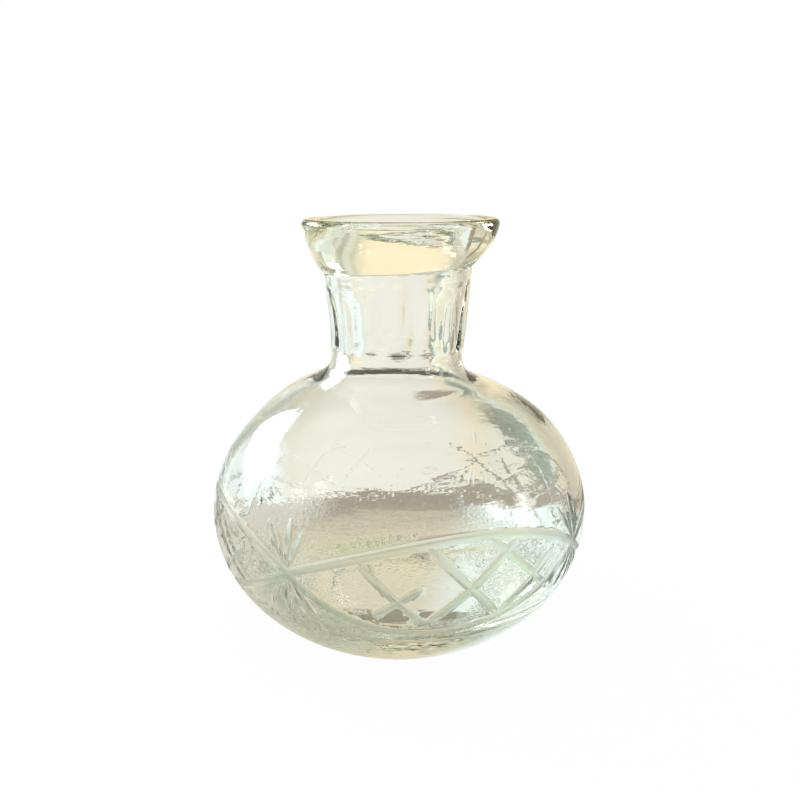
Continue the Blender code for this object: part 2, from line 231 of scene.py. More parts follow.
class Outline:
    """The turned outline of the vase, worked out from the shape's sizes."""

    BEND_STEPS = 14
    BODY_STEPS = 64
    HOLLOW_STEPS = 24
    FLOOR_STEPS = 8
    NECK_STEPS = 36
    LIP_STEPS = 22
    ROUND_STEPS = 8
    EDGE_STEPS = 6
    PUSH_UP_STEPS = 14
    MOUTH_ROUND = 1.7 * MM
    MOUTH_TURN = 170.0
    CREST_ROUND = 1.5 * MM
    CREST_SETBACK = 1.2 * MM
    LIP_FOOT_STEP = 0.5 * MM
    LIP_BELLY = 0.9 * MM
    WELD_CLEARANCE = 0.02 * MM
    SEAM_HEIGHT = 94.6 * MM
    SEAM_DEPTH = 0.16 * MM
    SEAM_WIDTH = 0.5 * MM

    def __init__(self, shape):
        self.shape = shape
        share = shape.foot_radius / shape.body_radius
        self.drop = (shape.equator_height - shape.foot_height) / math.sqrt(1.0 - share * share)
        self.floor = shape.push_up + shape.floor_thickness
        self.weld = shape.lip_foot_height
        self.neck_end = self.weld - self.WELD_CLEARANCE
        self.bore = shape.neck_top_radius - shape.neck_wall
        outer = self.shoulder_bend(
            shape.body_radius, shape.shoulder_rise, shape.neck_foot_radius, shape.neck_bend
        )
        self.outer_bend = outer
        self.neck_foot = outer[-1][1]

    def shoulder_bend(self, bulb_radius, rise, neck_radius, reach):
        """The bend by which the upper half of a bulb turns up into its neck."""
        share = (neck_radius + reach) / bulb_radius
        flatness = math.sqrt(1.0 - share * share)
        start = (neck_radius + reach, self.shape.equator_height + rise * flatness)
        corner = (neck_radius, start[1] + rise / bulb_radius * share / flatness * reach)
        return bend(start, corner, (neck_radius, corner[1] + reach), self.BEND_STEPS)

    def half_height(self, height):
        """Half height of the bulb's outside, above or below its widest place."""
        return self.shape.shoulder_rise if height >= self.shape.equator_height else self.drop

    def body_radius(self, height):
        """Outer radius of the bulb at a height."""
        share = (height - self.shape.equator_height) / self.half_height(height)
        return self.shape.body_radius * math.sqrt(1.0 - share * share)

    def neck_radius(self, height):
        """Outer radius of the neck at a height."""
        foot = self.shape.neck_foot_radius
        share = (height - self.neck_foot) / (self.weld - self.neck_foot)
        return foot + (self.shape.neck_top_radius - foot) * share

    def neck_outside(self):
        """The neck's outside from the weld down, with the fine groove that runs round it."""
        points = []
        for step in range(self.NECK_STEPS):
            height = self.neck_end + (self.neck_foot - self.neck_end) * step / self.NECK_STEPS
            offset = (height - self.SEAM_HEIGHT) / self.SEAM_WIDTH
            groove = self.SEAM_DEPTH * math.exp(-offset * offset)
            points.append((self.neck_radius(height) - groove, height))
        return points

    def outside(self):
        """The bulb's outside, from the shoulder bend down to the top of the foot."""
        shape = self.shape
        top = math.asin((self.outer_bend[0][1] - shape.equator_height) / shape.shoulder_rise)
        bottom = math.asin((shape.foot_height - shape.equator_height) / self.drop)
        points = []
        for step in range(1, self.BODY_STEPS):
            angle = top + (bottom - top) * step / self.BODY_STEPS
            half = shape.shoulder_rise if angle >= 0.0 else self.drop
            height = shape.equator_height + half * math.sin(angle)
            points.append((shape.body_radius * math.cos(angle), height))
        return points

    def hollow(self, inner_bend):
        """The hollow, from the middle of its floor up to the bend into the neck."""
        shape = self.shape
        radius = shape.body_radius - shape.side_wall
        rise = shape.shoulder_rise - shape.side_wall
        drop = shape.equator_height - self.floor
        fillet = radius - shape.floor_radius
        points = []
        for step in range(self.FLOOR_STEPS):
            points.append((shape.floor_radius * step / self.FLOOR_STEPS, self.floor))
        for step in range(self.HOLLOW_STEPS + 1):
            angle = math.pi / 2.0 * step / self.HOLLOW_STEPS
            across = shape.floor_radius + fillet * math.sin(angle)
            points.append((across, shape.equator_height - drop * math.cos(angle)))
        top = math.asin((inner_bend[0][1] - shape.equator_height) / rise)
        for step in range(1, self.HOLLOW_STEPS):
            angle = top * step / self.HOLLOW_STEPS
            points.append((radius * math.cos(angle), shape.equator_height + rise * math.sin(angle)))
        return points

    def underside(self):
        """The rounded edge of the foot, the ring that it stands on and the push-up inside it."""
        shape = self.shape
        inner = shape.ring_radius - shape.ring_width
        edge_top, corner = (shape.foot_radius, shape.foot_height), (shape.foot_radius, 0.0)
        points = bend(edge_top, corner, (shape.ring_radius, 0.0), self.EDGE_STEPS) + [(inner, 0.0)]
        for step in range(1, self.PUSH_UP_STEPS):
            angle = math.pi / 2.0 * step / self.PUSH_UP_STEPS
            points.append((inner * math.cos(angle), shape.push_up * math.sin(angle)))
        return points + [(0.0, shape.push_up)]

    def body(self):
        """The body's section: up the hollow, over the weld, down the outside and under the foot."""
        shape = self.shape
        inner_bend = self.shoulder_bend(
            shape.body_radius - shape.side_wall,
            shape.shoulder_rise - shape.side_wall,
            shape.neck_foot_radius - shape.neck_wall,
            shape.inner_bend,
        )
        inside = self.hollow(inner_bend) + inner_bend
        for step in range(1, self.NECK_STEPS + 1):
            inside.append(between(inner_bend[-1], (self.bore, self.neck_end), step / self.NECK_STEPS))
        return inside + self.neck_outside() + self.outer_bend[::-1] + self.outside() + self.underside()

    def quarter(self, centre, across, up, start, end):
        """Part of an ellipse about a centre between two angles, counted from outwards to upwards."""
        points = []
        for step in range(self.ROUND_STEPS + 1):
            angle = math.radians(start + (end - start) * step / self.ROUND_STEPS)
            points.append((centre[0] + across * math.cos(angle), centre[1] + up * math.sin(angle)))
        return points

    def lip(self):
        """The lip's section: out of the weld, up the mouth, over the crest and down the outside."""
        shape = self.shape
        crest = shape.lip_radius - self.CREST_SETBACK
        mouth_height = shape.total_height - self.MOUTH_ROUND
        crest_height = shape.total_height - self.CREST_ROUND
        across = crest - shape.mouth_radius
        crest_in = self.quarter((crest, mouth_height), across, self.MOUTH_ROUND, self.MOUTH_TURN, 90.0)
        mouth_edge, edge_height = crest_in[0]
        crest_out = self.quarter((crest, crest_height), self.CREST_SETBACK, self.CREST_ROUND, 90.0, 0.0)
        mouth = []
        for step in range(self.LIP_STEPS):
            share = step / self.LIP_STEPS
            widening = (1.0 - math.cos(math.pi / 2.0 * share)) * (mouth_edge - self.bore)
            mouth.append((self.bore + widening, self.weld + (edge_height - self.weld) * share))
        foot = (shape.neck_top_radius + self.LIP_FOOT_STEP, self.weld)
        outside = []
        for step in range(1, self.LIP_STEPS + 1):
            share = step / self.LIP_STEPS
            radius, height = between((shape.lip_radius, crest_height), foot, share)
            outside.append((radius + self.LIP_BELLY * math.sin(math.pi * share), height))
        return mouth + crest_in + crest_out[1:] + outside + [(shape.neck_top_radius, self.weld)]


SAME_PLACE = 0.001 * MM


def deselect_all():
    """Leaves nothing selected, so that an operator acts only on what is picked next."""
    if bpy.context.object and bpy.context.object.mode != "OBJECT":
        bpy.ops.object.mode_set(mode="OBJECT")
    bpy.ops.object.select_all(action="DESELECT")


def pick(obj):
    """Makes one object the selected and active one."""
    deselect_all()
    obj.select_set(True)
    bpy.context.view_layer.objects.active = obj


def spin_section(name, points, closed, segments):
    """Draws a section point by point and spins it round +Z into a closed solid."""
    deselect_all()
    bpy.ops.mesh.primitive_plane_add(size=MM)
    obj = bpy.context.object
    obj.name = obj.data.name = name
    bpy.ops.object.mode_set(mode="EDIT")
    bpy.ops.mesh.select_all(action="SELECT")
    bpy.ops.mesh.merge(type="CENTER")
    place = Vector((0.0, 0.0, 0.0))
    for index, (radius, height) in enumerate(points):
        move = Vector((radius, 0.0, height)) - place
        if index == 0:
            bpy.ops.transform.translate(value=move)
        else:
            bpy.ops.mesh.extrude_region_move(TRANSFORM_OT_translate={"value": move})
        place += move
    bpy.ops.mesh.select_all(action="SELECT")
    if closed:
        mesh = bmesh.from_edit_mesh(obj.data)
        mesh.verts.ensure_lookup_table()
        ends = [v for v in mesh.verts if len(v.link_edges) == 1]
        mesh.edges.new(ends).select = True
        bmesh.update_edit_mesh(obj.data)
    bpy.ops.mesh.spin(steps=segments, angle=math.tau, center=(0.0, 0.0, 0.0), axis=(0.0, 0.0, 1.0))
    bpy.ops.mesh.select_all(action="SELECT")
    bpy.ops.mesh.remove_doubles(threshold=SAME_PLACE)
    bpy.ops.mesh.normals_make_consistent(inside=False)
    bpy.ops.object.mode_set(mode="OBJECT")
    bpy.ops.object.shade_smooth()
    return obj


# Heights at which hand tooling starts to move the glass, is full, eases off and ends: first at the
# neck's foot, which leans to the left, then at the lip, which is tilted and shifted to the right
LEAN_FROM, LEAN_FULL, LEAN_EASES, LEAN_ENDS = 58.0 * MM, 68.0 * MM, 74.0 * MM, 84.0 * MM
TILT_EASES, TILT_ENDS = 100.0 * MM, 108.0 * MM
SHIFT_FROM = 96.0 * MM
SHOULDER_SHIFT = 0.5 * MM
SHOULDER_TILT = 0.6 * MM
LIP_SHIFT = 0.7 * MM
LIP_TILT = 1.0 * MM
LIP_SAG = 0.65 * MM


def tooled(place, outline):
    """Where hand tooling moves a point of the shoulder, the neck or the lip."""
    radius = math.hypot(place.x, place.y)
    if place.z < LEAN_FROM or radius < MM:
        return place
    side = place.x / radius
    if place.z < LEAN_ENDS:
        lean = smooth(LEAN_FROM, LEAN_FULL, place.z) * (1.0 - smooth(LEAN_EASES, LEAN_ENDS, place.z))
        return place + Vector((-SHOULDER_SHIFT * lean, 0.0, -SHOULDER_TILT * side * lean))
    tilt = smooth(LEAN_ENDS, outline.weld, place.z) * (1.0 - smooth(TILT_EASES, TILT_ENDS, place.z))
    shift = smooth(SHIFT_FROM, TILT_ENDS, place.z)
    behind = smooth(-0.2, 0.6, place.y / radius)
    sag = LIP_SAG * (1.0 - side) * behind * tilt
    return place + Vector((LIP_SHIFT * shift, 0.0, LIP_TILT * side * tilt - sag))


def tool_by_hand(obj, outline):
    """Gives the turned glass the unevenness of hand tooling."""
    for vertex in obj.data.vertices:
        vertex.co = tooled(vertex.co, outline)


def ripple(obj, weigh, name, size, stretch, depth):
    """Displaces points, each by its place's weight, by soft clouds stretched round the vase."""
    group = obj.vertex_groups.new(name=name)
    for vertex in obj.data.vertices:
        weight = weigh(vertex.co)
        if weight > 0.0:
            group.add([vertex.index], weight, "REPLACE")
    texture = bpy.data.textures.new(name, "CLOUDS")
    texture.noise_scale = size
    texture.noise_depth = 1
    guide = bpy.data.objects.new(name + "_guide", None)
    bpy.context.scene.collection.objects.link(guide)
    guide.scale = (stretch, stretch, 1.0)
    pick(obj)
    displace = obj.modifiers.new(name, "DISPLACE")
    displace.texture = texture
    displace.texture_coords = "OBJECT"
    displace.texture_coords_object = guide
    displace.strength = depth
    displace.mid_level = 0.5
    displace.vertex_group = name
    bpy.context.view_layer.update()
    bpy.ops.object.modifier_apply(modifier=displace.name)
    bpy.data.objects.remove(guide)
    obj.vertex_groups.clear()


def place(azimuth, radius, height):
    """The point at an azimuth in degrees from the front, a radius and a height."""
    angle = math.radians(azimuth)
    return Vector((radius * math.sin(angle), -radius * math.cos(angle), height))


def on_body(outline, azimuth, height):
    """A point on the bulb's outside and the direction straight out of the glass there."""
    radius = outline.body_radius(height)
    flatness = (height - outline.shape.equator_height) / outline.half_height(height) ** 2
    out = place(azimuth, radius / outline.shape.body_radius**2, flatness)
    return place(azimuth, radius, height), out.normalized()


BACK_SHARE = 0.20


def hand_pressure(azimuth):
    """Share of the full depth to which a cut is ground: the cuts behind are fainter."""
    return BACK_SHARE + (1.0 - BACK_SHARE) * smooth(-0.35, 0.25, math.cos(math.radians(azimuth)))


def wheel_depth(share, depth):
    """Depth along a cut that a round wheel leaves: full in the middle, none at both ends."""
    return depth * (1.0 - (2.0 * share - 1.0) ** 2)


# A cutter's height over the glass, and its section as shares of its spread and depth
CUTTER_LIFT = 0.7 * MM
MITRE_SECTION = ((-1.0, 0.0), (-0.16, 0.84), (0.0, 0.92), (0.16, 0.84), (1.0, 0.0))
RAY_SKEW = 1.3


def ray_depth(share, depth):
    """Depth along a ray: none at the star's middle and at its tip, full just past halfway."""
    return depth * math.sin(math.pi * min(1.0, max(0.0, share)) ** RAY_SKEW)


def new_cutter(name, vertices, faces, cutters, material):
    """A closed mesh in the collection that cuts the body, with the finish that its cut leaves."""
    mesh = bpy.data.meshes.new(name)
    mesh.from_pydata(vertices, [], faces)
    mesh.materials.append(material)
    obj = bpy.data.objects.new(name, mesh)
    cutters.objects.link(obj)
    obj.hide_render = True
    return obj


def mitre_cutter(name, stations, half_angle, cutters, material):
    """A V-shaped cutter, a little round at its tip, along stations of point, way out and depth."""
    spread = math.tan(math.radians(half_angle))
    count = len(MITRE_SECTION)
    vertices = []
    for index, (point, out, depth) in enumerate(stations):
        before = stations[max(index - 1, 0)][0]
        after = stations[min(index + 1, len(stations) - 1)][0]
        side = out.cross(after - before).normalized() * (depth + CUTTER_LIFT) * spread
        drop = out * (depth + CUTTER_LIFT)
        top = point + out * CUTTER_LIFT
        vertices += [top + side * across - drop * down for across, down in MITRE_SECTION]
    faces = [tuple(range(count - 1, -1, -1))]
    last = len(vertices) - count
    for start in range(0, last, count):
        for corner in range(count):
            first, second = start + corner, start + (corner + 1) % count
            faces.append((first, second, second + count, first + count))
    faces.append(tuple(range(last, last + count)))
    return new_cutter(name, vertices, faces, cutters, material)


# Rays of a star: turn from straight up in degrees, length as a share of the star's reach, and
# depth as a share of a ray's depth
STAR_RAYS = (
    (-31.0, 1.08, 0.90),
    (-17.0, 0.80, 0.60),
    (2.0, 1.02, 1.15),
    (22.0, 0.90, 0.95),
    (147.0, 0.97, 0.90),
    (167.0, 0.94, 0.80),
    (-174.0, 0.90, 0.95),
    (-147.0, 0.98, 0.90),
)

# Lattice cuts of an eye: azimuth from its middle and height of both ends
LATTICE_CUTS = (
    ((-24.6, 38.5 * MM), (-6.7, 22.6 * MM)),
    ((-6.4, 42.2 * MM), (14.4, 22.8 * MM)),
    ((10.7, 42.8 * MM), (31.6, 25.8 * MM)),
    ((-21.0, 25.6 * MM), (-8.0, 33.0 * MM)),
    ((-7.6, 22.6 * MM), (19.2, 41.4 * MM)),
    ((13.6, 22.8 * MM), (33.1, 36.3 * MM)),
)
# Shift of each eye's lattice off its middle, in degrees
LATTICE_SHIFTS = (0.0, 2.0, -3.0, -5.0)

STAR_COUNT = 4
STAR_SPACING = 360.0 / STAR_COUNT
RAY_WOBBLE = 3.0
BOW_LEAN = 0.05
LINE_RUN = 0.12
LINE_END_SHARE = 0.35
BOW_STEPS = 40
RAY_STEPS = 12
LATTICE_STEPS = 9
KNURL_STEPS = 6
MITRE_HALF_ANGLE = 66.0
RAY_HALF_ANGLE = 53.0
KNURL_HALF_ANGLE = 36.0
KNURL_DEPTH = 0.77 * MM
KNURL_END_LIFT = 0.02 * MM
KNURL_START_SHARE, KNURL_RISE_SHARE = 0.2, 2.3


def star_cutters(outline, cuts, cutters, material, wobble):
    """The rays of the four stars."""
    for star in range(STAR_COUNT):
        azimuth = math.degrees(cuts.star_azimuth) + STAR_SPACING * star
        for ray, (turn, length_share, depth_share) in enumerate(STAR_RAYS):
            if star:
                turn += wobble.uniform(-RAY_WOBBLE, RAY_WOBBLE)
            reach = cuts.star_reach * length_share
            across = math.degrees(reach * math.sin(math.radians(turn)) / outline.shape.body_radius)
            up = reach * math.cos(math.radians(turn))
            stations = []
            for step in range(RAY_STEPS + 1):
                share = step / RAY_STEPS
                point, out = on_body(outline, azimuth + across * share, cuts.star_height + up * share)
                depth = cuts.ray_depth * depth_share * hand_pressure(azimuth)
                stations.append((point, out, ray_depth(share, depth)))
            mitre_cutter(f"star_{star}_ray_{ray}", stations, RAY_HALF_ANGLE, cutters, material)


def bow_cutters(outline, cuts, cutters, material):
    """The two bows of each eye. Each leans a little, as a hand-led cut does."""
    for eye in range(STAR_COUNT):
        first = math.degrees(cuts.star_azimuth) + STAR_SPACING * eye
        upper, lower = (cuts.upper_bow_rise, BOW_LEAN), (-cuts.lower_bow_drop, -BOW_LEAN)
        for name, (rise, lean) in {"upper": upper, "lower": lower}.items():
            stations = []
            for step in range(BOW_STEPS + 1):
                share = step / BOW_STEPS
                skewed = share - lean * math.sin(math.pi * share)
                height = cuts.star_height + rise * (1.0 - (2.0 * skewed - 1.0) ** 2)
                azimuth = first + STAR_SPACING * share
                point, out = on_body(outline, azimuth, height)
                stations.append((point, out, cuts.bow_depth * hand_pressure(azimuth)))
            mitre_cutter(f"eye_{eye}_{name}_bow", stations, MITRE_HALF_ANGLE, cutters, material)


def lattice_cutters(outline, cuts, cutters, material):
    """The crossing cuts inside each eye."""
    for eye in range(STAR_COUNT):
        middle = math.degrees(cuts.star_azimuth) + STAR_SPACING * (eye + 0.5) + LATTICE_SHIFTS[eye]
        for line, (start, end) in enumerate(LATTICE_CUTS):
            stations = []
            for step in range(LATTICE_STEPS + 1):
                share = step / LATTICE_STEPS
                azimuth, height = between(start, end, share)
                point, out = on_body(outline, middle + azimuth, height)
                fade = smooth(0.0, LINE_RUN, share) * smooth(0.0, LINE_RUN, 1.0 - share)
                depth = cuts.line_depth * (LINE_END_SHARE + (1.0 - LINE_END_SHARE) * fade)
                depth = depth * hand_pressure(middle + azimuth)
                stations.append((point, out, depth))
            mitre_cutter(f"eye_{eye}_line_{line}", stations, MITRE_HALF_ANGLE, cutters, material)


# The neck's panels: radii of the arches at their ends, how far from the ends these start, softness
# of the edges between panels, how deep they lie, least wall, and heights over which they come in
WHEEL_TOP, WHEEL_FOOT = 100.0 * MM, 42.0 * MM
RUN_TOP, RUN_FOOT = 8.5 * MM, 8.0 * MM
EDGE_SOFTNESS = 0.05 * MM
INSET_SHARE = 0.92
LEAST_WALL = 0.8 * MM
PANELS_FROM, PANELS_FULL = 71.8 * MM, 78.5 * MM
PANELS_UNDER_WELD = 0.5 * MM


def press_panels(obj, outline, cuts):
    """Flat panels side by side round the neck, arched at their ends and fading into the shoulder."""
    panels_end = outline.weld - PANELS_UNDER_WELD
    half_turn = math.pi / cuts.panels
    inset = 1.0 - INSET_SHARE * (1.0 - math.cos(half_turn))
    for vertex in obj.data.vertices:
        radius = math.hypot(vertex.co.x, vertex.co.y)
        height = vertex.co.z
        if not PANELS_FROM < height < panels_end or radius < outline.bore + LEAST_WALL:
            continue
        turn = math.atan2(vertex.co.x, -vertex.co.y) % (2.0 * half_turn)
        turn = min(turn, 2.0 * half_turn - turn)
        above = max(0.0, height - cuts.panel_top + RUN_TOP)
        below = max(0.0, cuts.panel_foot + RUN_FOOT - height)
        lift = above * above / (2.0 * WHEEL_TOP) + below * below / (2.0 * WHEEL_FOOT)
        flat = (outline.neck_radius(height) * inset + lift) / math.cos(turn)
        low = min(radius, flat)
        low -= EDGE_SOFTNESS * math.exp(-abs(radius - flat) / EDGE_SOFTNESS)
        low = radius + (low - radius) * smooth(PANELS_FROM, PANELS_FULL, height)
        vertex.co.x *= low / radius
        vertex.co.y *= low / radius


def knurl_cutters(outline, cuts, cutters, material):
    """Short cuts all round the rounded edge of the foot."""
    for knurl in range(cuts.knurls):
        stations = []
        for step in range(KNURL_STEPS + 1):
            share = step / KNURL_STEPS
            height = outline.shape.foot_height * (KNURL_START_SHARE + KNURL_RISE_SHARE * share)
            point, out = on_body(outline, 360.0 / cuts.knurls * knurl, height)
            stations.append((point, out, wheel_depth(share, KNURL_DEPTH) - KNURL_END_LIFT))
        mitre_cutter(f"knurl_{knurl}", stations, KNURL_HALF_ANGLE, cutters, material)


def cut_with(body, cutters):
    """Cuts the body with everything in a collection, keeping each cut's own finish."""
    pick(body)
    boolean = body.modifiers.new("Wheel cuts", "BOOLEAN")
    boolean.operation = "DIFFERENCE"
    boolean.solver = "EXACT"
    boolean.operand_type = "COLLECTION"
    boolean.collection = cutters
    boolean.material_mode = "TRANSFER"
    bpy.ops.object.modifier_apply(modifier=boolean.name)
    for obj in list(cutters.objects):
        bpy.data.objects.remove(obj)
    bpy.data.collections.remove(cutters)


class Socket:
    """One output socket of a node tree, with arithmetic on its value."""

    def __init__(self, tree, output):
        self.tree = tree
        self.output = output

    def _math(self, operation, *values):
        return self.tree.node("ShaderNodeMath", {"operation": operation}, *values)

    def __add__(self, other):
        return self._math("ADD", self, other)

    def __radd__(self, other):
        return self._math("ADD", other, self)

    def __sub__(self, other):
        return self._math("SUBTRACT", self, other)

    def __rsub__(self, other):
        return self._math("SUBTRACT", other, self)

    def __mul__(self, other):
        return self._math("MULTIPLY", self, other)

    def __rmul__(self, other):
        return self._math("MULTIPLY", other, self)

    def __truediv__(self, other):
        return self._math("DIVIDE", self, other)


class Tree:
    """A material's or world's node tree, with one method that adds any node."""

    def __init__(self, holder):
        holder.use_nodes = True
        self.holder = holder
        self.nodes = holder.node_tree.nodes
        self.links = holder.node_tree.links

    def link(self, value, target):
        """Feeds a socket with another socket or with a plain value."""
        if isinstance(value, Socket):
            self.links.new(value.output, target)
        else:
            target.default_value = value

    def feed(self, node, **values):
        """Feeds a node's inputs by name."""
        for name, value in values.items():
            self.link(value, node.inputs[name.replace("_", " ")])

    def node(self, kind, settings=None, *values, output=0, **named):
        """Adds a node, sets it up, feeds its inputs by order or name, and returns one output."""
        node = self.nodes.new(kind)
        for name, value in (settings or {}).items():
            if name == "stops":
                ramp = node.color_ramp.elements
                for index, (position, colour) in enumerate(value):
                    stop = ramp[index] if index < len(ramp) else ramp.new(position)
                    stop.position = position
                    stop.color = (*colour, 1.0)
            else:
                setattr(node, name, value)
        for index, value in enumerate(values):
            self.link(value, node.inputs[index])
        self.feed(node, **named)
        return Socket(self, node.outputs[output])

    def parts(self, vector):
        """The three parts of a vector."""
        split = self.node("ShaderNodeSeparateXYZ", None, vector).output.node
        return [Socket(self, output) for output in split.outputs]

    def ease(self, value, start, end, top=1.0):
        """0 before the start, a top value past the end, and a smooth rise between."""
        soft = {"interpolation_type": "SMOOTHSTEP"}
        return self.node("ShaderNodeMapRange", soft, value, start, end, 0.0, top)

    def mix(self, share, first, second):
        """One colour turning into another by a share."""
        mixed = self.node("ShaderNodeMix", {"data_type": "RGBA"}, output=2)
        for value, index in ((share, 0), (first, 6), (second, 7)):
            self.link(value, mixed.output.node.inputs[index])
        return mixed


GLASS_IOR = 1.52

# Fire-polished skin, in metres: the pebbles start under a height and outside a radius, and inside it
# in a ring over the foot. The side that faces CLEAR_ACROSS and CLEAR_ALONG is free of them.
PEBBLES_UNDER = (0.026, 0.015)
WALL_FROM = (0.020, 0.026)
RING_FROM = (0.010, 0.013)
CLEAR_ACROSS, CLEAR_ALONG = 0.574, 0.819
CLEAR_SHARES = (0.80, 0.60)
PEBBLE_DRIFT = (0.0011, 0.0011, 0.0011)
PEBBLE_RELIEF = 0.00024
RING_RELIEF = 0.00010
STRIA_RELIEF = 0.00007
STRIA_STRETCH = (1.0, 1.0, 5.0)
# Colour of the painted shade over the pebbles, darkest at the cells' edges
PEBBLE_PAINTED_SHADE = (0.72, 0.68, 0.62, 1.0)


def new_glass(name, depth_colour, depth_strength):
    """The tree of a new material that takes up light in the thick."""
    tree = Tree(bpy.data.materials.new(name))
    absorb = tree.node("ShaderNodeVolumeAbsorption", None, (*depth_colour, 1.0), depth_strength)
    tree.feed(tree.nodes["Material Output"], Volume=absorb)
    return tree


def clear_glass(name, colour, depth_colour, depth_strength, pebble_share):
    """Clear fire-polished glass with striae, and with a share of pebbles on its lower wall, with painted
    shade over them.
    """
    tree = new_glass(name, depth_colour, depth_strength)
    spot = tree.node("ShaderNodeTexCoord", output="Object")
    across, along, up = tree.parts(spot)
    radius = tree.node("ShaderNodeMath", {"operation": "SQRT"}, across * across + along * along)
    low = tree.ease(up, *PEBBLES_UNDER)
    wall = tree.ease(radius, *WALL_FROM)
    facing = (across * CLEAR_ACROSS - along * CLEAR_ALONG) / radius
    pebbled = low * wall * tree.ease(facing, *CLEAR_SHARES) * pebble_share
    ring = tree.ease(up, *RING_FROM) * low * (1.0 - wall)
    drift = tree.node("ShaderNodeTexNoise", None, Vector=spot, Scale=500.0, Detail=1.0, output=1)
    warped = tree.node("ShaderNodeVectorMath", {"operation": "MULTIPLY_ADD"}, drift, PEBBLE_DRIFT, spot)
    cells = {"feature": "SMOOTH_F1"}
    pebbles = tree.node("ShaderNodeTexVoronoi", cells, Vector=warped, Scale=760.0, Smoothness=0.25)
    stretched = tree.node("ShaderNodeMapping", None, Vector=spot, Scale=STRIA_STRETCH)
    fibres = {"Scale": 75.0, "Detail": 2.5, "Roughness": 0.6}
    striae = tree.node("ShaderNodeTexNoise", None, Vector=stretched, **fibres)
    relief = pebbles * (pebbled * PEBBLE_RELIEF + ring * RING_RELIEF)
    relief = relief + striae * (1.0 - pebbled) * STRIA_RELIEF
    bump = tree.node("ShaderNodeBump", None, Strength=1.0, Distance=1.0, Height=relief)
    # The skin takes painted shade from the pebbles, darkest at the cells' edges
    skin = tree.mix(pebbled * (pebbles * 0.5 - 0.05), (*colour, 1.0), PEBBLE_PAINTED_SHADE)
    shader = tree.nodes["Principled BSDF"]
    tree.feed(shader, Roughness=0.0, IOR=GLASS_IOR, Transmission_Weight=1.0, Normal=bump, Base_Color=skin)
    return tree.holder


def ground_glass(name, settings):
    """Glass as the wheel leaves it: satin, grey-white, with fine marks of the grit."""
    tree = new_glass(name, settings.body_depth, settings.depth_strength)
    shader = tree.nodes["Principled BSDF"]
    spot = tree.node("ShaderNodeTexCoord", output="Object")
    grit = tree.node("ShaderNodeTexNoise", None, Vector=spot, Scale=2200.0, Detail=2.0)
    rough = settings.cut_roughness - 0.06 + 0.12 * grit
    bump = tree.node("ShaderNodeBump", None, Strength=0.6, Distance=0.00005, Height=grit)
    tree.feed(shader, Roughness=rough, IOR=GLASS_IOR, Transmission_Weight=0.92, Normal=bump)
    tree.feed(shader, Base_Color=(*settings.cut_colour, 1.0))
    return tree.holder


def weld_glass(name, depth_colour, depth_strength):
    """The weld between two gathers of one glass, which can't be seen."""
    tree = new_glass(name, depth_colour, depth_strength)
    tree.feed(tree.nodes["Principled BSDF"], Alpha=0.0)
    return tree.holder


def body_materials(settings):
    """The body's finishes: its fire-polished skin, the unseen weld and the ground cuts."""
    return (
        clear_glass("body_glass", settings.body_colour, settings.body_depth, settings.depth_strength, 1.0),
        weld_glass("body_weld", settings.body_depth, settings.depth_strength),
        ground_glass("ground_cut", settings),
    )


def lip_materials(settings):
    """The lip's finishes: its fire-polished skin and the unseen weld."""
    return (
        clear_glass("lip_glass", settings.lip_colour, settings.lip_depth, settings.lip_strength, 0.0),
        weld_glass("lip_weld", settings.lip_depth, settings.lip_strength),
    )


# How nearly upright a level face's way out is
LEVEL = 0.9


class VASE_OT_blow_body(bpy.types.Operator):
    """Blow the bulb, its foot and its neck"""

    bl_idname = "vase.blow_body"
    bl_label = "Blow the Body"

    SKIN_HEIGHTS = (14.0 * MM, 26.0 * MM)
    SKIN_RADII = (10.0 * MM, 16.0 * MM)
    SKIN_UNDER_WELD = 1.0 * MM
    SKIN_FADE = 4.0 * MM
    END_BAND = 2.5 * MM

    def execute(self, context):
        scene = context.scene
        outline = Outline(scene.vase_shape)
        body = spin_section(BODY_NAME, outline.body(), False, scene.vase_shape.segments)
        for material in body_materials(scene.vase_glass):
            body.data.materials.append(material)
        skin_ends = outline.weld - self.SKIN_UNDER_WELD

        def skin(point):
            low_fade = smooth(*self.SKIN_HEIGHTS, point.z)
            high_fade = 1.0 - smooth(skin_ends - self.SKIN_FADE, skin_ends, point.z)
            return low_fade * high_fade * smooth(*self.SKIN_RADII, math.hypot(point.x, point.y))

        ripple(body, skin, "striae", 12.0 * MM, 3.0, 0.16 * MM)
        press_panels(body, outline, scene.vase_cuts)
        tool_by_hand(body, outline)
        self.mark_weld(body, outline)
        return {"FINISHED"}

    def mark_weld(self, body, outline):
        """The end of the neck, where the lip is welded on."""
        for face in body.data.polygons:
            if abs(face.normal.z) > LEVEL and face.center.z > outline.weld - self.END_BAND:
                face.material_index = 1


class VASE_OT_wind_lip(bpy.types.Operator):
    """Wind the heavy lip on round the neck's end"""

    bl_idname = "vase.wind_lip"
    bl_label = "Wind on the Lip"

    WELD_EDGE = 0.01 * MM
    SKIN_FADE = 3.0 * MM

    def execute(self, context):
        scene = context.scene
        outline = Outline(scene.vase_shape)
        lip = spin_section(LIP_NAME, outline.lip(), True, scene.vase_shape.segments)
        for material in lip_materials(scene.vase_glass):
            lip.data.materials.append(material)
        radius, top = outline.shape.neck_top_radius - self.WELD_EDGE, outline.weld + MM
        for face in lip.data.polygons:
            middle = face.center
            if face.normal.z < -LEVEL and math.hypot(middle.x, middle.y) < radius and middle.z < top:
                face.material_index = 1

        def skin(point):
            return smooth(outline.weld, outline.weld + self.SKIN_FADE, point.z)

        ripple(lip, skin, "tool marks", 10.0 * MM, 2.0, 0.18 * MM)
        tool_by_hand(lip, outline)
        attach(lip, "root")
        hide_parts("lip_collar")
        return {"FINISHED"}


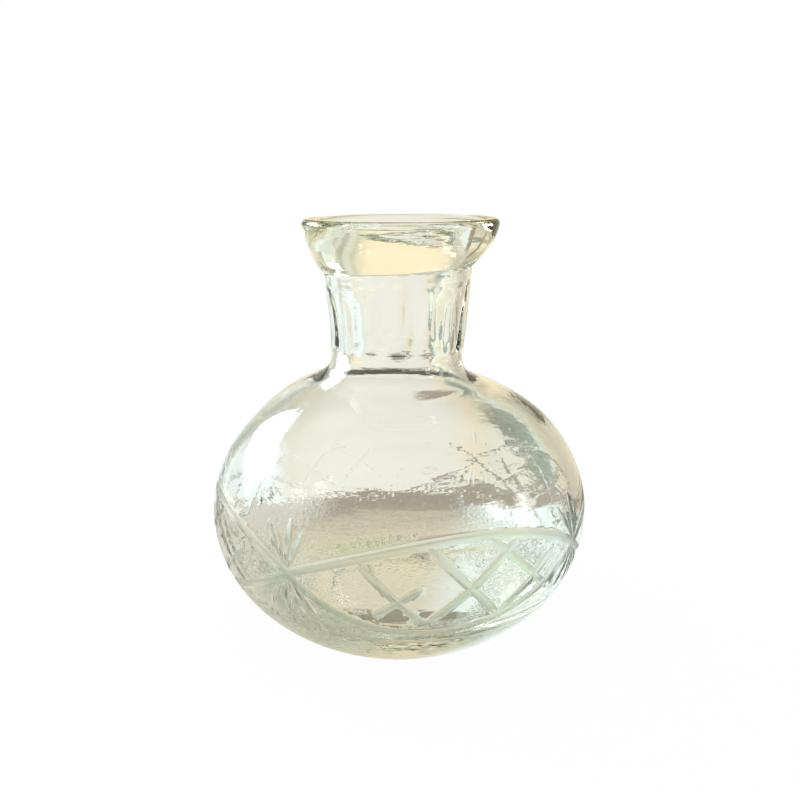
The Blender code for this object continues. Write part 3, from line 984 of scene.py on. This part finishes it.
class VASE_OT_cut_glass(bpy.types.Operator):
    """Cut the stars, bows, lattice and knurls with wheels"""

    bl_idname = "vase.cut_glass"
    bl_label = "Cut the Glass"

    def execute(self, context):
        scene = context.scene
        outline = Outline(scene.vase_shape)
        cuts = scene.vase_cuts
        body = bpy.data.objects[BODY_NAME]
        ground = body.data.materials[2]
        cutters = bpy.data.collections.new("wheel_cuts")
        scene.collection.children.link(cutters)
        wobble = random.Random(7)
        star_cutters(outline, cuts, cutters, ground, wobble)
        bow_cutters(outline, cuts, cutters, ground)
        lattice_cutters(outline, cuts, cutters, ground)
        knurl_cutters(outline, cuts, cutters, ground)
        cut_with(body, cutters)
        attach(body, "root")
        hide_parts("vase_body")
        return {"FINISHED"}


# Soft stripes of the room behind the vase, as places across it from left to right, and colours: the
# lower ones are seen under eye level and the upper ones above it. Right of the vase the lower ones
# lean, as the lit folds of a drape.
LOWER_STRIPES = (
    (0.20, (0.80, 0.88, 0.82)),
    (0.28, (0.96, 1.06, 1.05)),
    (0.385, (0.98, 1.08, 1.07)),
    (0.41, (0.84, 0.79, 0.64)),
    (0.44, (0.90, 0.87, 0.76)),
    (0.53, (0.85, 0.82, 0.72)),
    (0.56, (0.88, 0.76, 0.52)),
    (0.60, (0.92, 0.78, 0.50)),
)
DRAPE_STRIPES = (
    (0.36, (0.58, 0.55, 0.42)),
    (0.450, (0.84, 0.80, 0.64)),
    (0.466, (0.70, 0.68, 0.52)),
    (0.473, (0.15, 0.16, 0.10)),
    (0.485, (0.20, 0.25, 0.17)),
    (0.515, (0.36, 0.45, 0.36)),
    (0.530, (0.92, 1.02, 0.92)),
    (0.550, (0.92, 0.92, 0.66)),
    (0.590, (0.88, 0.77, 0.52)),
    (0.660, (0.80, 0.70, 0.48)),
    (0.760, (0.62, 0.57, 0.43)),
)
UPPER_STRIPES = (
    (0.12, (0.94, 1.02, 0.98)),
    (0.18, (0.44, 0.48, 0.38)),
    (0.28, (0.46, 0.49, 0.37)),
    (0.31, (0.76, 0.78, 0.66)),
    (0.345, (0.78, 0.77, 0.62)),
    (0.37, (0.66, 0.60, 0.43)),
    (0.39, (0.88, 0.80, 0.56)),
    (0.44, (1.17, 0.94, 0.62)),
    (0.56, (1.20, 0.94, 0.61)),
    (0.60, (1.00, 0.84, 0.56)),
    (0.64, (0.56, 0.50, 0.35)),
    (0.76, (0.48, 0.47, 0.34)),
)
CEILING_COLOUR = (0.42, 0.45, 0.33, 1.0)
SHELF_COLOUR = (0.28, 0.21, 0.13, 1.0)
SIDE_COLOUR = (0.88, 0.97, 0.91, 1.0)
WHITE = (1.0, 1.0, 1.0, 1.0)

# Where parts of the room start and are full, as turn across it and rise over eye level
BEHIND = (0.30, 0.55)
DRAPE_TURN = (0.11, 0.16)
SHELF_RISE = (-0.315, -0.335)
SHELF_TURN = (0.02, 0.06)
SHELF_FOOT = (-0.46, -0.42)
UPPER_RISE = (-0.08, -0.01)
UPPER_LEAN = 0.25
CEILING_RISE = (0.35, 0.60)

# Lamps: name, place, width and height, roll in degrees
WINDOW = ("window", (-0.558, 0.322, 0.297), (0.42, 0.28), -12.0)
PANES = (
    ("near_pane", (0.64, -0.34, 0.32), (0.13, 0.16), 0.0),
    ("far_pane", (0.75, -0.10, 0.26), (0.13, 0.16), 0.0),
)
LAMP_TARGET = Vector((0.0, 0.0, 0.05))


class VASE_OT_set_stage(bpy.types.Operator):
    """Set the pale floor, the backdrop, the lamps and the camera"""

    bl_idname = "vase.set_stage"
    bl_label = "Set the Stage"

    FLOOR_SIZE = 3.0
    FLOOR_TURN = -5.5
    FLOOR_ROUGHNESS = 0.7

    def execute(self, context):
        scene = context.scene
        scene.view_settings.view_transform = "Standard"
        stage = scene.vase_stage
        self.lay_floor(stage)
        self.light_world(scene)
        self.hang_lamp(*WINDOW, stage.window_strength)
        for pane in PANES:
            self.hang_lamp(*pane, stage.pane_strength)
        self.place_camera(scene)
        scene.cycles.max_bounces = 24
        scene.cycles.transmission_bounces = 24
        scene.cycles.glossy_bounces = 12
        scene.cycles.transparent_max_bounces = 16
        return {"FINISHED"}

    def rays(self, tree):
        """1 on rays from the camera, on reflected rays and on rays that have gone through glass."""
        path = tree.node("ShaderNodeLightPath").output.node
        names = ("Is Camera Ray", "Is Glossy Ray", "Is Transmission Ray")
        return [Socket(tree, path.outputs[name]) for name in names]

    def lay_floor(self, stage):
        """A pale floor that ends a hand behind the vase."""
        deselect_all()
        bpy.ops.mesh.primitive_plane_add(size=1.0)
        floor = bpy.context.object
        floor.name = "floor"
        edge = (0.0, stage.table_depth, 0.0)
        middle = (0.0, stage.table_depth - self.FLOOR_SIZE / 2.0, 0.0)
        turn = math.radians(self.FLOOR_TURN)
        bpy.ops.object.mode_set(mode="EDIT")
        bpy.ops.mesh.select_all(action="SELECT")
        bpy.ops.transform.resize(value=(self.FLOOR_SIZE, self.FLOOR_SIZE, 1.0))
        bpy.ops.transform.translate(value=middle)
        bpy.ops.transform.rotate(value=turn, orient_axis="Z", center_override=edge)
        bpy.ops.object.mode_set(mode="OBJECT")
        tree = Tree(bpy.data.materials.new("floor"))
        shader = tree.nodes["Principled BSDF"]
        camera, glossy, transmission = self.rays(tree)
        colour = tree.mix(camera, self.table_colour(tree, stage), WHITE)
        tree.feed(shader, Roughness=self.FLOOR_ROUGHNESS, Base_Color=colour)
        plain = tree.node("ShaderNodeEmission", None, colour, 1.0)
        share = 0.97 * camera + 0.9 * (glossy + transmission)
        mixed = tree.node("ShaderNodeMixShader", None, share, Socket(tree, shader.outputs[0]), plain)
        tree.feed(tree.nodes["Material Output"], Surface=mixed)
        floor.data.materials.append(tree.holder)

    def table_colour(self, tree, stage):
        """The table seen through the glass: brown behind the vase with painted shadow of the vase, pale
        before it, a painted pool of cool light on its right and painted shadow under the foot.
        """
        across, along = tree.parts(tree.node("ShaderNodeTexCoord", output="Object"))[:2]

        def oval(middle, flatness, edge, full, top=1.0):
            """A share that fills a flat oval, from the square of its reach at the edge inwards."""
            reach = across * across * flatness + (along - middle) * (along - middle)
            return tree.ease(reach, edge, full, top)

        # right: the painted pool of cool light, where the vase gathers the window's light
        right = tree.ease(across - 0.2 * along, 0.004, 0.022) * tree.ease(along, 0.088, 0.074)
        front = tree.ease(along, -0.024, -0.034) * tree.ease(across, 0.035, 0.020)

        # Share and colour of each patch, laid over those before it
        patches = (
            (tree.ease(along, 0.075, 0.012), stage.near_colour),
            (tree.ease(across, -0.020, -0.038, 0.7), (0.80, 0.77, 0.67)),
            # Painted pool of cool light
            (right, stage.glow_colour),
            (oval(0.021, 0.06, 0.00006, 0.00002, 0.8), (0.58, 0.60, 0.30)),
            (front, (0.41, 0.43, 0.31)),
            (tree.ease(along, -0.046, -0.058), (0.84, 0.95, 0.90)),
            # Painted shadow on the table under the front of the foot ring
            (oval(-0.0175, 0.04, 0.000018, 0.000009), (0.22, 0.19, 0.11)),
        )
        # The brown table behind the vase, with painted shadow of the vase, lies under all the patches
        colour = (*stage.floor_colour, 1.0)
        for share, patch in patches:
            colour = tree.mix(share, colour, (*patch, 1.0))
        return colour

    def light_world(self, scene):
        """The room that the glass shows, striped behind the vase, and white to the camera itself."""
        scene.world = bpy.data.worlds.new("surround")
        tree = Tree(scene.world)
        across, along, up = tree.parts(tree.node("ShaderNodeTexCoord", output="Generated"))
        turn, rise = across / along, up / along

        def stripes(stops, place_in):
            return tree.node("ShaderNodeValToRGB", {"stops": stops}, place_in * 0.5 + 0.5)

        shelf = tree.ease(rise, *SHELF_RISE) * tree.ease(turn, *SHELF_TURN) * tree.ease(rise, *SHELF_FOOT)
        drape = stripes(DRAPE_STRIPES, turn + rise)
        colour = tree.mix(tree.ease(turn, *DRAPE_TURN), stripes(LOWER_STRIPES, turn), drape)
        colour = tree.mix(shelf, colour, SHELF_COLOUR)
        upper = tree.ease(rise - UPPER_LEAN * turn, *UPPER_RISE)
        colour = tree.mix(upper, colour, stripes(UPPER_STRIPES, turn))
        colour = tree.mix(tree.ease(rise, *CEILING_RISE), colour, CEILING_COLOUR)
        colour = tree.mix(tree.ease(along, *BEHIND), SIDE_COLOUR, colour)
        room = tree.nodes["Background"]
        tree.feed(room, Color=colour)
        plain = tree.node("ShaderNodeBackground", None, WHITE, 1.0)
        camera, glossy, transmission = self.rays(tree)
        white = camera + 0.06 * glossy + 0.03 * transmission
        mixed = tree.node("ShaderNodeMixShader", None, white, Socket(tree, room.outputs[0]), plain)
        tree.feed(tree.nodes["World Output"], Surface=mixed)

    def hang_lamp(self, name, centre, size, roll, strength):
        """A soft rectangular lamp, like a window, turned to the vase."""
        light = bpy.data.lights.new(name, "AREA")
        light.shape = "RECTANGLE"
        light.size, light.size_y = size
        light.energy = strength
        lamp = bpy.data.objects.new(name, light)
        bpy.context.scene.collection.objects.link(lamp)
        lamp.location = centre
        facing = (LAMP_TARGET - Vector(centre)).to_track_quat("-Z", "Y")
        lamp.rotation_euler = (facing @ Quaternion((0.0, 0.0, 1.0), math.radians(roll))).to_euler()

    def place_camera(self, scene):
        """The camera at the photograph's place and angle."""
        camera = bpy.data.cameras.new("camera")
        camera.sensor_width = SENSOR_WIDTH
        camera.lens = SENSOR_WIDTH * FOCAL_PIXELS / PHOTO_PIXELS
        camera.clip_start = CAMERA_NEAR
        obj = bpy.data.objects.new("camera", camera)
        scene.collection.objects.link(obj)
        obj.location = CAMERA_PLACE
        obj.rotation_euler = (math.radians(90.0 - CAMERA_PITCH), math.radians(CAMERA_ROLL), 0.0)
        scene.camera = obj


class VASE_PT_panel(bpy.types.Panel):
    """The sidebar panel that lists the steps"""

    bl_idname = "VASE_PT_panel"
    bl_label = "Bulbous Vase"
    bl_space_type = "VIEW_3D"
    bl_region_type = "UI"
    bl_category = "Vase"

    def draw(self, context):
        for operator in OPERATORS:
            self.layout.operator(operator.bl_idname)


OPERATORS = (VASE_OT_blow_body, VASE_OT_wind_lip, VASE_OT_cut_glass, VASE_OT_set_stage)
GROUPS = {"vase_shape": VaseShape, "vase_cuts": VaseCuts, "vase_glass": VaseGlass, "vase_stage": VaseStage}


def register():
    for name, group in GROUPS.items():
        bpy.utils.register_class(group)
        setattr(bpy.types.Scene, name, PointerProperty(type=group))
    for operator in OPERATORS:
        bpy.utils.register_class(operator)
    bpy.utils.register_class(VASE_PT_panel)


def unregister():
    bpy.utils.unregister_class(VASE_PT_panel)
    for operator in reversed(OPERATORS):
        bpy.utils.unregister_class(operator)
    for name, group in GROUPS.items():
        delattr(bpy.types.Scene, name)
        bpy.utils.unregister_class(group)


def main():
    """Registers the add-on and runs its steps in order."""
    register()
    bpy.ops.vase.blow_body()
    bpy.ops.vase.wind_lip()
    bpy.ops.vase.cut_glass()
    bpy.ops.vase.set_stage()


if __name__ == "__main__":
    main()
